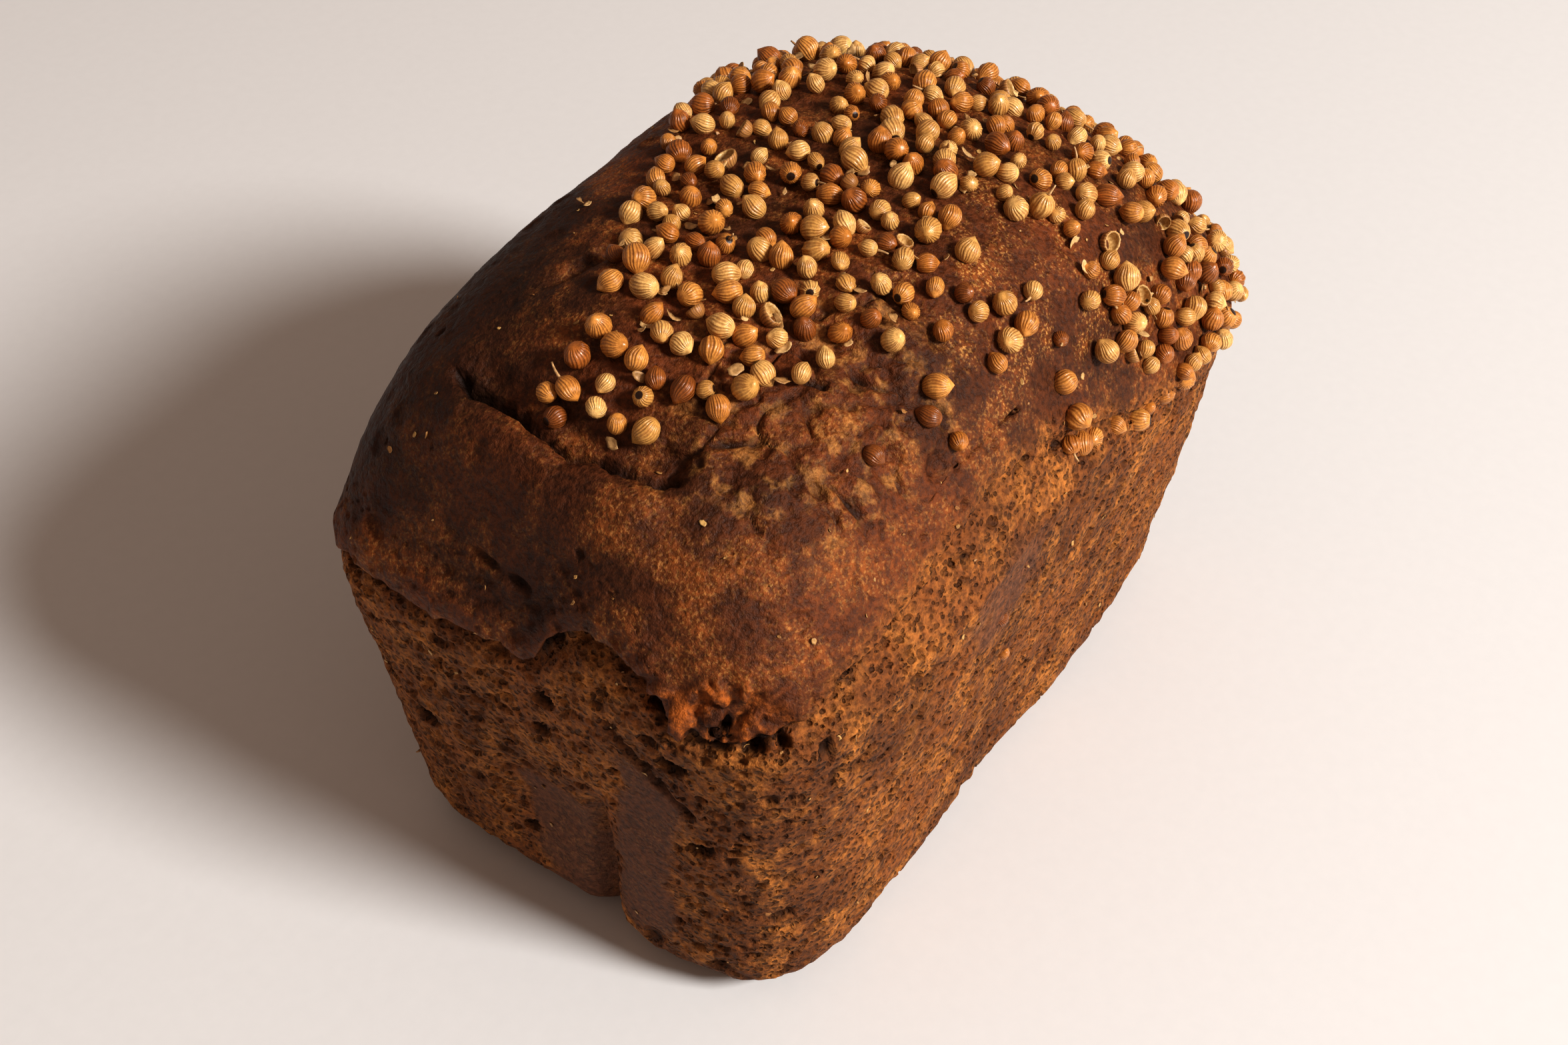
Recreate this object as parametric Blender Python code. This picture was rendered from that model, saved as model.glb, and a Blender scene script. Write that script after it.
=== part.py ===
"""Rye bread loaf baked in a small tapered pan: one solid.

The long axis is X, the short one is Y and +Z is up. The loaf stands on z = 0 with the
origin under its middle. Its lower wall kept the shape of the pan. The crown rose over the
pan's edge and set as a crust with a lip, a fold and lumps. Lengths are in metres.
"""

import bmesh
import bpy
import numpy as np

MM = 0.001

# Driving dimensions of the loaf
LENGTH = 149.5 * MM
WIDTH = 95.0 * MM
HEIGHT = 105.0 * MM
TAPER_LENGTH = 7.8 * MM      # how far each end wall leans in towards the base
TAPER_WIDTH = 6.7 * MM       # the same for each side wall
BASE_EDGE = 9.0 * MM         # radius of the rounded edge around the base
WALL_SQUARENESS = 6.3        # plan of the wall: 2 is an ellipse, more is squarer

# Height of the wall, where the crown begins, on each side
RIM_NEAR = 65.0 * MM
RIM_FAR = 58.0 * MM
RIM_RIGHT = 70.0 * MM
RIM_LEFT = 52.0 * MM

# The crown over the rim
CROWN_SQUARENESS = 1.8       # plan of the crown at its top
CROWN_FULLNESS = 0.43        # less keeps the crown wide up to a greater height
CROWN_RISE = 1.44            # less makes the crown steeper at its rim
CROWN_NARROWING = 0.92
CROWN_LEAN = (-2.3 * MM, 5.6 * MM)
CROWN_TOP_SHARE = 0.90       # share of the plan that the top of the block covers

# Height of the crust's lip, where the crown overhangs the wall, on each side
LIP_NEAR = 68.3 * MM
LIP_FAR = 62.0 * MM
LIP_RIGHT = 82.0 * MM
LIP_LEFT = 60.0 * MM
ARCH_RISE = 9.5 * MM         # the lip is arched in the middle of the near end
ARCH_PLACE = -14.0 * MM
ARCH_WIDTH = 10.5 * MM
SLOPE_FAR_RIGHT = 15.0 * MM  # fall of the right side's lip towards the far end
SLOPE_NEAR_RIGHT = 4.0 * MM
LIP_OUT = 1.7 * MM
LIP_UNDERCUT = 2.4 * MM
LIP_STRENGTH = (1.0, 0.55, 0.35, 0.45)

# Forms pressed and torn into the loaf
FOLD_DEPTH = 3.0 * MM        # the crevice where the crust folded over itself
FOLD_WIDTH = 3.0 * MM
FLAP_RISE = 1.6 * MM
FOLD_LINE = -58.4 * MM
FOLD_ENDS = (-17.0 * MM, 27.0 * MM)
CREASE_DEPTH = 4.4 * MM      # the upright crease in the near end
CREASE_PLACE = -6.0 * MM
CREASE_LEAN = -0.06           # sideways shift for each metre of height
HOLLOW_DEPTH = 2.4 * MM      # the sunken stretch beside the crease
CORNER_PUSH = 0.9 * MM       # the near right corner spreads at its foot
TEAR_DEPTH = 2.2 * MM
LUMP_RISE = 1.3 * MM
WALL_WAVE = 0.8 * MM

# Rows of faces up the side of the block, and columns along it
EDGE_ROWS = 4
WALL_ROWS = 7
LIP_STEPS = (-4.0 * MM, -1.4 * MM, 0.5 * MM, 2.6 * MM, 6.5 * MM)
COLUMNS_X = 46
COLUMNS_Y = 30
SIDE_ROWS = EDGE_ROWS + WALL_ROWS + len(LIP_STEPS)

CRUST_COLOUR = (0.075, 0.032, 0.017, 1.0)
CRUST_ROUGHNESS = 0.62


def ramp(value, start, end):
    """Smooth step from 0 at start to 1 at end."""
    t = np.clip((value - start) / (end - start), 0.0, 1.0)
    return t * t * (3.0 - 2.0 * t)


def bell(value, centre, width, power=2):
    """Smooth bump of height 1 around centre."""
    return np.exp(-np.abs((value - centre) / width) ** power)


def lumps(points, size, seed):
    """Smooth random lumps between -1 and 1, about one in every length of size."""
    cell = points / size + 17.31 * seed
    low = np.floor(cell).astype(np.int64)
    part = cell - low
    part = part * part * (3.0 - 2.0 * part)
    total = np.zeros(len(points))
    for corner in range(8):
        step = np.array([corner & 1, corner >> 1 & 1, corner >> 2 & 1])
        key = (low + step) @ np.array([73856093, 19349663, 83492791]) + seed * 2654435
        key = ((key ^ (key >> 13)) * 1274126177) & 0x7FFFFFFF
        height = ((key ^ (key >> 16)) % 4096) / 2047.5 - 1.0
        total += height * np.where(step, part, 1.0 - part).prod(axis=1)
    return total


def square_way(x, y):
    """Direction from the middle to each point, on the edge of a square of half-size 1."""
    way = np.stack([x / (LENGTH / 2), y / (WIDTH / 2)], axis=1)
    return way / np.maximum(np.abs(way).max(axis=1), 1e-9)[:, None]


def on_plan(way, squareness):
    """Point in the direction way on a rounded rectangle of half-size 1."""
    power = np.broadcast_to(squareness, len(way))[:, None]
    reach = (np.abs(way) ** power).sum(axis=1) ** (1.0 / power[:, 0])
    return way / reach[:, None]


def by_side(way, near, far, right, left):
    """Blend one value for each side of the loaf around its corners."""
    unit = way / np.linalg.norm(way, axis=1)[:, None]
    sides = np.stack([-unit[:, 0], unit[:, 0], -unit[:, 1], unit[:, 1]])
    weight = np.clip(sides, 0.0, 1.0) ** 6
    values = np.stack(np.broadcast_arrays(near, far, right, left, unit[:, 0])[:4])
    return (weight * values).sum(axis=0) / weight.sum(axis=0)


def rim_height(way):
    """Height of the wall, where the crown begins."""
    unit = way / np.linalg.norm(way, axis=1)[:, None]
    along = np.where(unit[:, 0] < 0.0, RIM_NEAR, RIM_FAR)
    across = np.where(unit[:, 1] < 0.0, RIM_RIGHT, RIM_LEFT)
    return unit[:, 0] ** 2 * along + unit[:, 1] ** 2 * across


def lip_height(way):
    """Height of the crust's lip around the loaf."""
    x = way[:, 0] * LENGTH / 2
    y = way[:, 1] * WIDTH / 2
    near = LIP_NEAR + ARCH_RISE * bell(y, ARCH_PLACE, ARCH_WIDTH, 4)
    right = LIP_RIGHT - SLOPE_FAR_RIGHT * ramp(x, -15.0 * MM, 40.0 * MM)
    right = right - SLOPE_NEAR_RIGHT * ramp(-x, 22.0 * MM, 55.0 * MM)
    return by_side(way, near, LIP_FAR, right, LIP_LEFT)


def wall_point(way, height):
    """Point of the pan's wall, rounded in at the base."""
    lean = 1.0 - height / rim_height(way)
    dip = np.clip(1.0 - height / BASE_EDGE, 0.0, 1.0)
    inset = BASE_EDGE * (1.0 - np.sqrt(1.0 - dip * dip))
    plan = on_plan(way, WALL_SQUARENESS)
    x = (LENGTH / 2 - TAPER_LENGTH * lean - inset) * plan[:, 0]
    y = (WIDTH / 2 - TAPER_WIDTH * lean - inset) * plan[:, 1]
    return np.stack([x, y, height], axis=1)


def crown_point(way, share):
    """Point of the crown, where share is 1 at the rim and 0 at the top."""
    angle = np.arccos(np.clip(share, 0.0, 1.0) ** (1.0 / CROWN_FULLNESS))
    lift = np.sin(angle)
    soft = ramp(angle, 0.0, np.pi / 2)
    plan = on_plan(way, WALL_SQUARENESS + (CROWN_SQUARENESS - WALL_SQUARENESS) * soft)
    rim = rim_height(way)
    x = LENGTH / 2 * share * plan[:, 0] + CROWN_LEAN[0] * lift
    y = WIDTH / 2 * share ** CROWN_NARROWING * plan[:, 1] + CROWN_LEAN[1] * lift
    return np.stack([x, y, rim + (HEIGHT - rim) * lift ** CROWN_RISE], axis=1)


def skin_point(way, height):
    """Point of the plain loaf at a height of its side."""
    rim = rim_height(way)
    lift = np.clip((height - rim) / (HEIGHT - rim), 0.0, 1.0) ** (1.0 / CROWN_RISE)
    share = np.cos(np.arcsin(lift)) ** CROWN_FULLNESS
    on_wall = (height < rim)[:, None]
    return np.where(on_wall, wall_point(way, np.minimum(height, rim)), crown_point(way, share))


def row_height(way, row):
    """Height of a row of the block's side: base edge, wall, then the lip's own steps."""
    lip = lip_height(way)
    turn = np.clip(row / EDGE_ROWS, 0.0, 1.0) * np.pi / 2
    height = BASE_EDGE * (1.0 - np.cos(turn))
    up_wall = np.clip((row - EDGE_ROWS) / WALL_ROWS, 0.0, 1.0)
    height = height + (lip + LIP_STEPS[0] - BASE_EDGE) * up_wall
    top = crown_point(way, np.full(len(way), CROWN_TOP_SHARE))[:, 2]
    steps = [lip + step for step in LIP_STEPS] + [top]
    for number in range(len(LIP_STEPS)):
        part = np.clip(row - EDGE_ROWS - WALL_ROWS - number, 0.0, 1.0)
        height = height + (steps[number + 1] - steps[number]) * part
    return height


def plain_loaf(block):
    """Shape block coordinates (sides at 1, rows up to SIDE_ROWS) into the plain loaf."""
    edge = np.abs(block[:, :2]).max(axis=1)
    way = block[:, :2] / np.maximum(edge, 1e-9)[:, None]
    way = np.where(edge[:, None] > 1e-6, way, np.array([1.0, 0.0]))
    side = skin_point(way, row_height(way, block[:, 2]))
    top = crown_point(way, edge * CROWN_TOP_SHARE)
    on_side = (edge > 1.0 - 1e-6)[:, None]
    return np.where(on_side, side, top)


def lip_relief(points):
    """The crust's nose over the wall, and the undercut beneath it."""
    x, y, z = points.T
    way = square_way(x, y)
    above = z - lip_height(way)
    strength = by_side(way, *LIP_STRENGTH) * (0.85 + 0.35 * lumps(points, 14.0 * MM, 3))
    nose = LIP_OUT * bell(above, 2.4 * MM, 3.6 * MM)
    undercut = LIP_UNDERCUT * bell(above, -1.8 * MM, 1.9 * MM)
    return strength * np.where(above > -0.2 * MM, nose, -undercut)


def fold_relief(points):
    """The crevice across the crown, with the flap that stands in front of it."""
    x, y, z = points.T
    line = FOLD_LINE - 1.5 * MM * bell(y, 1.0 * MM, 5.0 * MM)
    line = line + 1.5 * MM * ramp(np.abs(y - 4.0 * MM), 10.0 * MM, 22.0 * MM)
    behind = x - line
    reach = ramp(y, FOLD_ENDS[0], FOLD_ENDS[0] + 6.0 * MM)
    reach = reach * (1.0 - ramp(y, FOLD_ENDS[1] - 8.0 * MM, FOLD_ENDS[1]))
    crevice = FOLD_DEPTH * bell(behind, 1.4 * MM, FOLD_WIDTH)
    sunk = 1.2 * MM * bell(behind, 7.0 * MM, 6.0 * MM)
    flap = FLAP_RISE * bell(behind, -3.0 * MM, 4.5 * MM)
    return ramp(z, 80.0 * MM, 88.0 * MM) * reach * (flap - crevice - sunk)


def crown_relief(points):
    """Lumps, a short crease and dents of the crown."""
    x, y, z = points.T
    on_crown = ramp(z, 76.0 * MM, 90.0 * MM)
    middle = bell(x, -26.0 * MM, 26.0 * MM) * bell(y, -14.0 * MM, 20.0 * MM)
    rough = LUMP_RISE * (0.25 + 0.75 * middle) * lumps(points, 7.5 * MM, 5)
    swell = 1.1 * MM * lumps(points, 22.0 * MM, 8)
    across = (y - 18.5 * MM) + 0.36 * (x + 31.0 * MM)
    crease = 1.7 * MM * bell(across, 0.0, 1.6 * MM) * bell(x, -31.0 * MM, 9.0 * MM, 4)
    dent = 1.3 * MM * bell(x, -35.0 * MM, 3.0 * MM) * bell(y, -35.0 * MM, 3.0 * MM)
    return on_crown * (rough + swell - crease - dent)


def end_relief(points):
    """The upright crease, the hollow beside it and the tear on the near end."""
    x, y, z = points.T
    on_end = ramp(-x, 55.0 * MM, 63.0 * MM)
    foot = 1.0 - ramp(z, 28.0 * MM, 46.0 * MM)
    crease = CREASE_DEPTH * foot * bell(y, CREASE_PLACE + CREASE_LEAN * z, 2.4 * MM)
    hollow = HOLLOW_DEPTH * bell(y, 3.0 * MM, 9.0 * MM, 4) * bell(z, 27.0 * MM, 14.0 * MM)
    swell = 1.0 * MM * foot * bell(y, -17.0 * MM, 6.0 * MM)
    tear = TEAR_DEPTH * bell(y, -35.0 * MM, 5.0 * MM) * bell(z, 73.0 * MM, 3.5 * MM)
    return on_end * (swell - crease - hollow - tear)


def wall_relief(points):
    """Slow waves of the wall, and the corner that spreads at its foot."""
    x, y, z = points.T
    way = square_way(x, y)
    unit = way / np.linalg.norm(way, axis=1)[:, None]
    corner = np.clip(-(unit[:, 0] + unit[:, 1]) / np.sqrt(2.0), 0.0, 1.0) ** 14
    spread = CORNER_PUSH * corner * (1.0 - ramp(z, 6.0 * MM, 42.0 * MM))
    waves = WALL_WAVE * lumps(points, 26.0 * MM, 1) + 0.4 * WALL_WAVE * lumps(points, 11.0 * MM, 2)
    return spread + waves * (1.0 - ramp(z, 84.0 * MM, 96.0 * MM))


def relief(points):
    """Height of every pressed or raised form over the plain loaf."""
    forms = (lip_relief, fold_relief, crown_relief, end_relief, wall_relief)
    return sum(form(points) for form in forms)


def cut_block():
    """A cube cut into columns and rows, with SIDE_ROWS rows up its side."""
    block = bmesh.new()
    bmesh.ops.create_cube(block, size=2.0)
    for vertex in block.verts:
        vertex.co.z = (vertex.co.z + 1.0) / 2.0 * SIDE_ROWS
    cuts = [((x, 0, 0), (1, 0, 0)) for x in np.linspace(-1, 1, COLUMNS_X + 1)[1:-1]]
    cuts += [((0, y, 0), (0, 1, 0)) for y in np.linspace(-1, 1, COLUMNS_Y + 1)[1:-1]]
    cuts += [((0, 0, row), (0, 0, 1)) for row in range(1, SIDE_ROWS)]
    for place, normal in cuts:
        geometry = block.verts[:] + block.edges[:] + block.faces[:]
        bmesh.ops.bisect_plane(block, geom=geometry, dist=1e-7, plane_co=place, plane_no=normal)
    base = [face for face in block.faces if face.normal.z < -0.5]
    bmesh.ops.dissolve_faces(block, faces=base, use_verts=True)
    return block


def shape_loaf(block):
    """Move the block's points onto the plain loaf, then push them out by the relief."""
    corners = np.array([vertex.co for vertex in block.verts])
    points = plain_loaf(corners)
    for vertex, point in zip(block.verts, points):
        vertex.co = point
    block.normal_update()
    normals = np.array([vertex.normal for vertex in block.verts])
    normals[:, 2] *= ramp(points[:, 2], 0.0, BASE_EDGE)
    points = points + normals * relief(points)[:, None]
    middle = (points.min(axis=0) + points.max(axis=0)) / 2.0
    middle[2] = 0.0
    for vertex, point in zip(block.verts, points - middle):
        vertex.co = point


def crust_material():
    material = bpy.data.materials.new("dark_crust")
    material.use_nodes = True
    shader = material.node_tree.nodes["Principled BSDF"]
    shader.inputs["Base Color"].default_value = CRUST_COLOUR
    shader.inputs["Roughness"].default_value = CRUST_ROUGHNESS
    shader.inputs["Metallic"].default_value = 0.0
    return material


def make_loaf(collection):
    block = cut_block()
    shape_loaf(block)
    mesh = bpy.data.meshes.new("loaf")
    block.to_mesh(mesh)
    block.free()
    mesh.shade_smooth()
    mesh.set_sharp_from_angle(angle=np.radians(50.0))
    mesh.materials.append(crust_material())
    loaf = bpy.data.objects.new("loaf", mesh)
    collection.objects.link(loaf)
    return loaf


def main():
    for thing in list(bpy.data.objects):
        bpy.data.objects.remove(thing, do_unlink=True)
    collection = bpy.data.collections.new("rye_bread_loaf")
    bpy.context.scene.collection.children.link(collection)
    make_loaf(collection)


main()
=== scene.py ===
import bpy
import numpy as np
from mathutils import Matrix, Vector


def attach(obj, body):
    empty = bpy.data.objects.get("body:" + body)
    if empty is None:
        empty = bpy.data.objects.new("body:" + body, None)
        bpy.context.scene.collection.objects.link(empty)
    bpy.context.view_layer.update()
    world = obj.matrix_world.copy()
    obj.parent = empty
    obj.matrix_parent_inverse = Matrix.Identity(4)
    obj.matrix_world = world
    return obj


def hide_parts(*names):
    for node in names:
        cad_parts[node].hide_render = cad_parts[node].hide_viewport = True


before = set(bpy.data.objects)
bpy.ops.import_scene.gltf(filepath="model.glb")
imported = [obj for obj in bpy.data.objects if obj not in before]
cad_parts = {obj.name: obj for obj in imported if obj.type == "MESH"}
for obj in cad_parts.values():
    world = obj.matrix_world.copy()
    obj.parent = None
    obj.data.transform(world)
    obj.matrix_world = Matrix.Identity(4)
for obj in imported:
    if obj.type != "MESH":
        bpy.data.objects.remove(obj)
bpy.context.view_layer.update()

# Rye bread loaf with coriander seeds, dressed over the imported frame.
#
# The loaf's form is the one of its solid, cut much finer, with the pores, cracks, torn
# places and grain of the crust added. Seeds, husks, stalks and flakes lie on the crown.
# X runs along the loaf, -X is its creased near end and -Y its long side at the right.
# Lengths are in metres.

MM = 0.001
RANDOM = np.random.default_rng(41)

# Driving dimensions of the loaf
LENGTH = 149.5 * MM
WIDTH = 95.0 * MM
HEIGHT = 105.0 * MM
TAPER_LENGTH = 7.8 * MM      # how far each end wall leans in towards the base
TAPER_WIDTH = 6.7 * MM       # the same for each side wall
BASE_EDGE = 9.0 * MM         # radius of the rounded edge around the base
WALL_SQUARENESS = 6.3        # plan of the wall: 2 is an ellipse, more is squarer

# Height of the wall, where the crown begins, on each side
RIM_NEAR = 65.0 * MM
RIM_FAR = 58.0 * MM
RIM_RIGHT = 70.0 * MM
RIM_LEFT = 52.0 * MM

# The crown over the rim
CROWN_SQUARENESS = 1.8       # plan of the crown at its top
CROWN_FULLNESS = 0.43        # less keeps the crown wide up to a greater height
CROWN_RISE = 1.44            # less makes the crown steeper at its rim
CROWN_NARROWING = 0.92
CROWN_LEAN = (-2.3 * MM, 5.6 * MM)
CROWN_TOP_SHARE = 0.90       # share of the plan that the top of the block covers

# Height of the crust's lip, where the crown overhangs the wall, on each side
LIP_NEAR = 68.3 * MM
LIP_FAR = 62.0 * MM
LIP_RIGHT = 82.0 * MM
LIP_LEFT = 60.0 * MM
ARCH_RISE = 9.5 * MM         # the lip is arched in the middle of the near end
ARCH_PLACE = -14.0 * MM
ARCH_WIDTH = 10.5 * MM
SLOPE_FAR_RIGHT = 15.0 * MM  # fall of the right side's lip towards the far end
SLOPE_NEAR_RIGHT = 4.0 * MM
LIP_OUT = 1.7 * MM
LIP_UNDERCUT = 2.4 * MM
LIP_STRENGTH = (1.0, 0.55, 0.35, 0.45)

# Forms pressed and torn into the loaf
FOLD_DEPTH = 3.0 * MM        # the crevice where the crust folded over itself
FOLD_WIDTH = 3.0 * MM
FLAP_RISE = 1.6 * MM
FOLD_LINE = -58.4 * MM
FOLD_ENDS = (-17.0 * MM, 27.0 * MM)
CREASE_DEPTH = 4.4 * MM      # the upright crease in the near end
CREASE_PLACE = -6.0 * MM
CREASE_LEAN = -0.06           # sideways shift for each metre of height
HOLLOW_DEPTH = 2.4 * MM      # the sunken stretch beside the crease
CORNER_PUSH = 0.9 * MM       # the near right corner spreads at its foot
TEAR_DEPTH = 2.2 * MM
LUMP_RISE = 1.3 * MM
WALL_WAVE = 0.8 * MM

# Rows up the side of the block in the solid, which the finer rows here divide
EDGE_ROWS = 4
WALL_ROWS = 7
LIP_STEPS = (-4.0 * MM, -1.4 * MM, 0.5 * MM, 2.6 * MM, 6.5 * MM)
SIDE_ROWS = EDGE_ROWS + WALL_ROWS + len(LIP_STEPS)

# The finer block: columns along each side of the top, and rows up the side
FINE_X = 400
FINE_Y = 266
FINE_ROWS = ((0, 4, 16), (4, 11, 156), (11, 15, 42), (15, 16, 56))
LOAF_TRIANGLES = 198000

# Camera, looking down on the near right corner
CAMERA_AIM = (-9.9 * MM, -1.6 * MM, 45.0 * MM)
CAMERA_AZIMUTH = -56.2
CAMERA_ELEVATION = 43.57
CAMERA_ROLL = 1.26
CAMERA_DISTANCE = 342.1 * MM
CAMERA_LENS = 46.99

# Seeds
SEED_COUNT = 430
SEED_RADIUS = (1.30 * MM, 2.05 * MM)
SEEDS_ABOVE = 60.0 * MM              # the thickly strewn seeds lie higher than this
SEED_RIDGES = (10, 11, 12, 10, 11, 12)  # ribs of each form of whole seed
SHRUNKEN_RIDGES = 9
SHRUNKEN_SHARE = 0.07                # of the seeds that are shrunken
# painted shade: a dark spot at the foot of these seeds stands for a hole
PAINTED_HOLE_SHARE = 0.22                   # of the seeds that have a hole at the tip
STALK_SHARE = 0.13                   # of the seeds that keep a stalk
SEEDS_TIP = (-58.0 * MM, -2.0 * MM)  # where the seeds begin, by the fold
SEEDS_SPREAD = 20.0 * MM             # sideways from the tip, the seeds begin further back by
SEEDS_SETBACK_RIGHT = 26.0 * MM
SEEDS_SETBACK_LEFT = 34.0 * MM
SHOULDER_ROW = (5.0 * MM, 40.0 * MM, 5.5 * MM)  # half-sunk seeds along the right lip

# Groups of seeds apart from the rest, in millimetres: middle, reach, how many, and how
# far sunk. They lie by the fold, by the bare patch, among the lumps, over the shoulder
# and in the right wall.
SEED_GROUPS = (
    ((-50, 2, 99), (9, 9, 8), 11, 0.05, 0.20),
    ((-2, -33, 96), (8, 6, 8), 5, 0.10, 0.20),
    ((-25, -35, 94), (16, 6, 8), 4, 0.20, 0.35),
    ((3, -44, 80), (7, 5, 8), 3, 0.20, 0.40),
    ((-14, -46, 49), (14, 6, 8), 2, 0.70, 0.75),
)


# Colours, linear
CROWN_DARK = (0.078, 0.0235, 0.0066)
CROWN_BROWN = (0.165, 0.047, 0.0120)
CROWN_WARM = (0.255, 0.080, 0.0165)
WALL_DARK = (0.160, 0.057, 0.0165)
WALL_BROWN = (0.265, 0.096, 0.0250)
WALL_WARM = (0.410, 0.165, 0.0380)
# grey of the smooth crust, partly its own colour and partly painted sheen
SMOOTH_GREY_AND_SHEEN = (0.160, 0.068, 0.036)
OCHRE = (0.52, 0.28, 0.085)
TORN_ORANGE = (0.36, 0.110, 0.018)
# painted shade: the crown's left side, turned away from the key light, darkened in its colour
PAINTED_SHADE_LEFT = (0.022, 0.0075, 0.0032)
# painted shade inside pores, cracks and hollows
PORE_SHADE = (0.020, 0.006, 0.002)
SEED_COLOURS = {
    "pale": ((0.62, 0.335, 0.092), (0.86, 0.56, 0.220), (0.34, 0.135, 0.030)),
    "amber": ((0.52, 0.205, 0.036), (0.74, 0.365, 0.092), (0.23, 0.068, 0.011)),
    "brown": ((0.27, 0.085, 0.015), (0.50, 0.180, 0.036), (0.11, 0.030, 0.006)),
}

# Light: power in watts, share of the room's own light, and contrast of the print
KEY_POWER = 57.0
ROOM_STRENGTH = 0.36
CONTRAST = 0.78



def ramp(value, start, end):
    """Smooth step from 0 at start to 1 at end."""
    t = np.clip((value - start) / (end - start), 0.0, 1.0)
    return t * t * (3.0 - 2.0 * t)


def bell(value, centre, width, power=2):
    """Smooth bump of height 1 around centre."""
    return np.exp(-np.abs((value - centre) / width) ** power)


def lumps(points, size, seed):
    """Smooth random lumps between -1 and 1, about one in every length of size."""
    cell = points / size + 17.31 * seed
    low = np.floor(cell).astype(np.int64)
    part = cell - low
    part = part * part * (3.0 - 2.0 * part)
    total = np.zeros(len(points))
    for corner in range(8):
        step = np.array([corner & 1, corner >> 1 & 1, corner >> 2 & 1])
        key = (low + step) @ np.array([73856093, 19349663, 83492791]) + seed * 2654435
        key = ((key ^ (key >> 13)) * 1274126177) & 0x7FFFFFFF
        height = ((key ^ (key >> 16)) % 4096) / 2047.5 - 1.0
        total += height * np.where(step, part, 1.0 - part).prod(axis=1)
    return total


def square_way(x, y):
    """Direction from the middle to each point, on the edge of a square of half-size 1."""
    way = np.stack([x / (LENGTH / 2), y / (WIDTH / 2)], axis=1)
    return way / np.maximum(np.abs(way).max(axis=1), 1e-9)[:, None]


def on_plan(way, squareness):
    """Point in the direction way on a rounded rectangle of half-size 1."""
    power = np.broadcast_to(squareness, len(way))[:, None]
    reach = (np.abs(way) ** power).sum(axis=1) ** (1.0 / power[:, 0])
    return way / reach[:, None]


def by_side(way, near, far, right, left):
    """Blend one value for each side of the loaf around its corners."""
    unit = way / np.linalg.norm(way, axis=1)[:, None]
    sides = np.stack([-unit[:, 0], unit[:, 0], -unit[:, 1], unit[:, 1]])
    weight = np.clip(sides, 0.0, 1.0) ** 6
    values = np.stack(np.broadcast_arrays(near, far, right, left, unit[:, 0])[:4])
    return (weight * values).sum(axis=0) / weight.sum(axis=0)


def rim_height(way):
    """Height of the wall, where the crown begins."""
    unit = way / np.linalg.norm(way, axis=1)[:, None]
    along = np.where(unit[:, 0] < 0.0, RIM_NEAR, RIM_FAR)
    across = np.where(unit[:, 1] < 0.0, RIM_RIGHT, RIM_LEFT)
    return unit[:, 0] ** 2 * along + unit[:, 1] ** 2 * across


def lip_height(way):
    """Height of the crust's lip around the loaf."""
    x = way[:, 0] * LENGTH / 2
    y = way[:, 1] * WIDTH / 2
    near = LIP_NEAR + ARCH_RISE * bell(y, ARCH_PLACE, ARCH_WIDTH, 4)
    right = LIP_RIGHT - SLOPE_FAR_RIGHT * ramp(x, -15.0 * MM, 40.0 * MM)
    right = right - SLOPE_NEAR_RIGHT * ramp(-x, 22.0 * MM, 55.0 * MM)
    return by_side(way, near, LIP_FAR, right, LIP_LEFT)


def wall_point(way, height):
    """Point of the pan's wall, rounded in at the base."""
    lean = 1.0 - height / rim_height(way)
    dip = np.clip(1.0 - height / BASE_EDGE, 0.0, 1.0)
    inset = BASE_EDGE * (1.0 - np.sqrt(1.0 - dip * dip))
    plan = on_plan(way, WALL_SQUARENESS)
    x = (LENGTH / 2 - TAPER_LENGTH * lean - inset) * plan[:, 0]
    y = (WIDTH / 2 - TAPER_WIDTH * lean - inset) * plan[:, 1]
    return np.stack([x, y, height], axis=1)


def crown_point(way, share):
    """Point of the crown, where share is 1 at the rim and 0 at the top."""
    angle = np.arccos(np.clip(share, 0.0, 1.0) ** (1.0 / CROWN_FULLNESS))
    lift = np.sin(angle)
    soft = ramp(angle, 0.0, np.pi / 2)
    plan = on_plan(way, WALL_SQUARENESS + (CROWN_SQUARENESS - WALL_SQUARENESS) * soft)
    rim = rim_height(way)
    x = LENGTH / 2 * share * plan[:, 0] + CROWN_LEAN[0] * lift
    y = WIDTH / 2 * share ** CROWN_NARROWING * plan[:, 1] + CROWN_LEAN[1] * lift
    return np.stack([x, y, rim + (HEIGHT - rim) * lift ** CROWN_RISE], axis=1)


def skin_point(way, height):
    """Point of the plain loaf at a height of its side."""
    rim = rim_height(way)
    lift = np.clip((height - rim) / (HEIGHT - rim), 0.0, 1.0) ** (1.0 / CROWN_RISE)
    share = np.cos(np.arcsin(lift)) ** CROWN_FULLNESS
    on_wall = (height < rim)[:, None]
    return np.where(on_wall, wall_point(way, np.minimum(height, rim)), crown_point(way, share))


def row_height(way, row):
    """Height of a row of the block's side: base edge, wall, then the lip's own steps."""
    lip = lip_height(way)
    turn = np.clip(row / EDGE_ROWS, 0.0, 1.0) * np.pi / 2
    height = BASE_EDGE * (1.0 - np.cos(turn))
    up_wall = np.clip((row - EDGE_ROWS) / WALL_ROWS, 0.0, 1.0)
    height = height + (lip + LIP_STEPS[0] - BASE_EDGE) * up_wall
    top = crown_point(way, np.full(len(way), CROWN_TOP_SHARE))[:, 2]
    steps = [lip + step for step in LIP_STEPS] + [top]
    for number in range(len(LIP_STEPS)):
        part = np.clip(row - EDGE_ROWS - WALL_ROWS - number, 0.0, 1.0)
        height = height + (steps[number + 1] - steps[number]) * part
    return height


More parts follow.
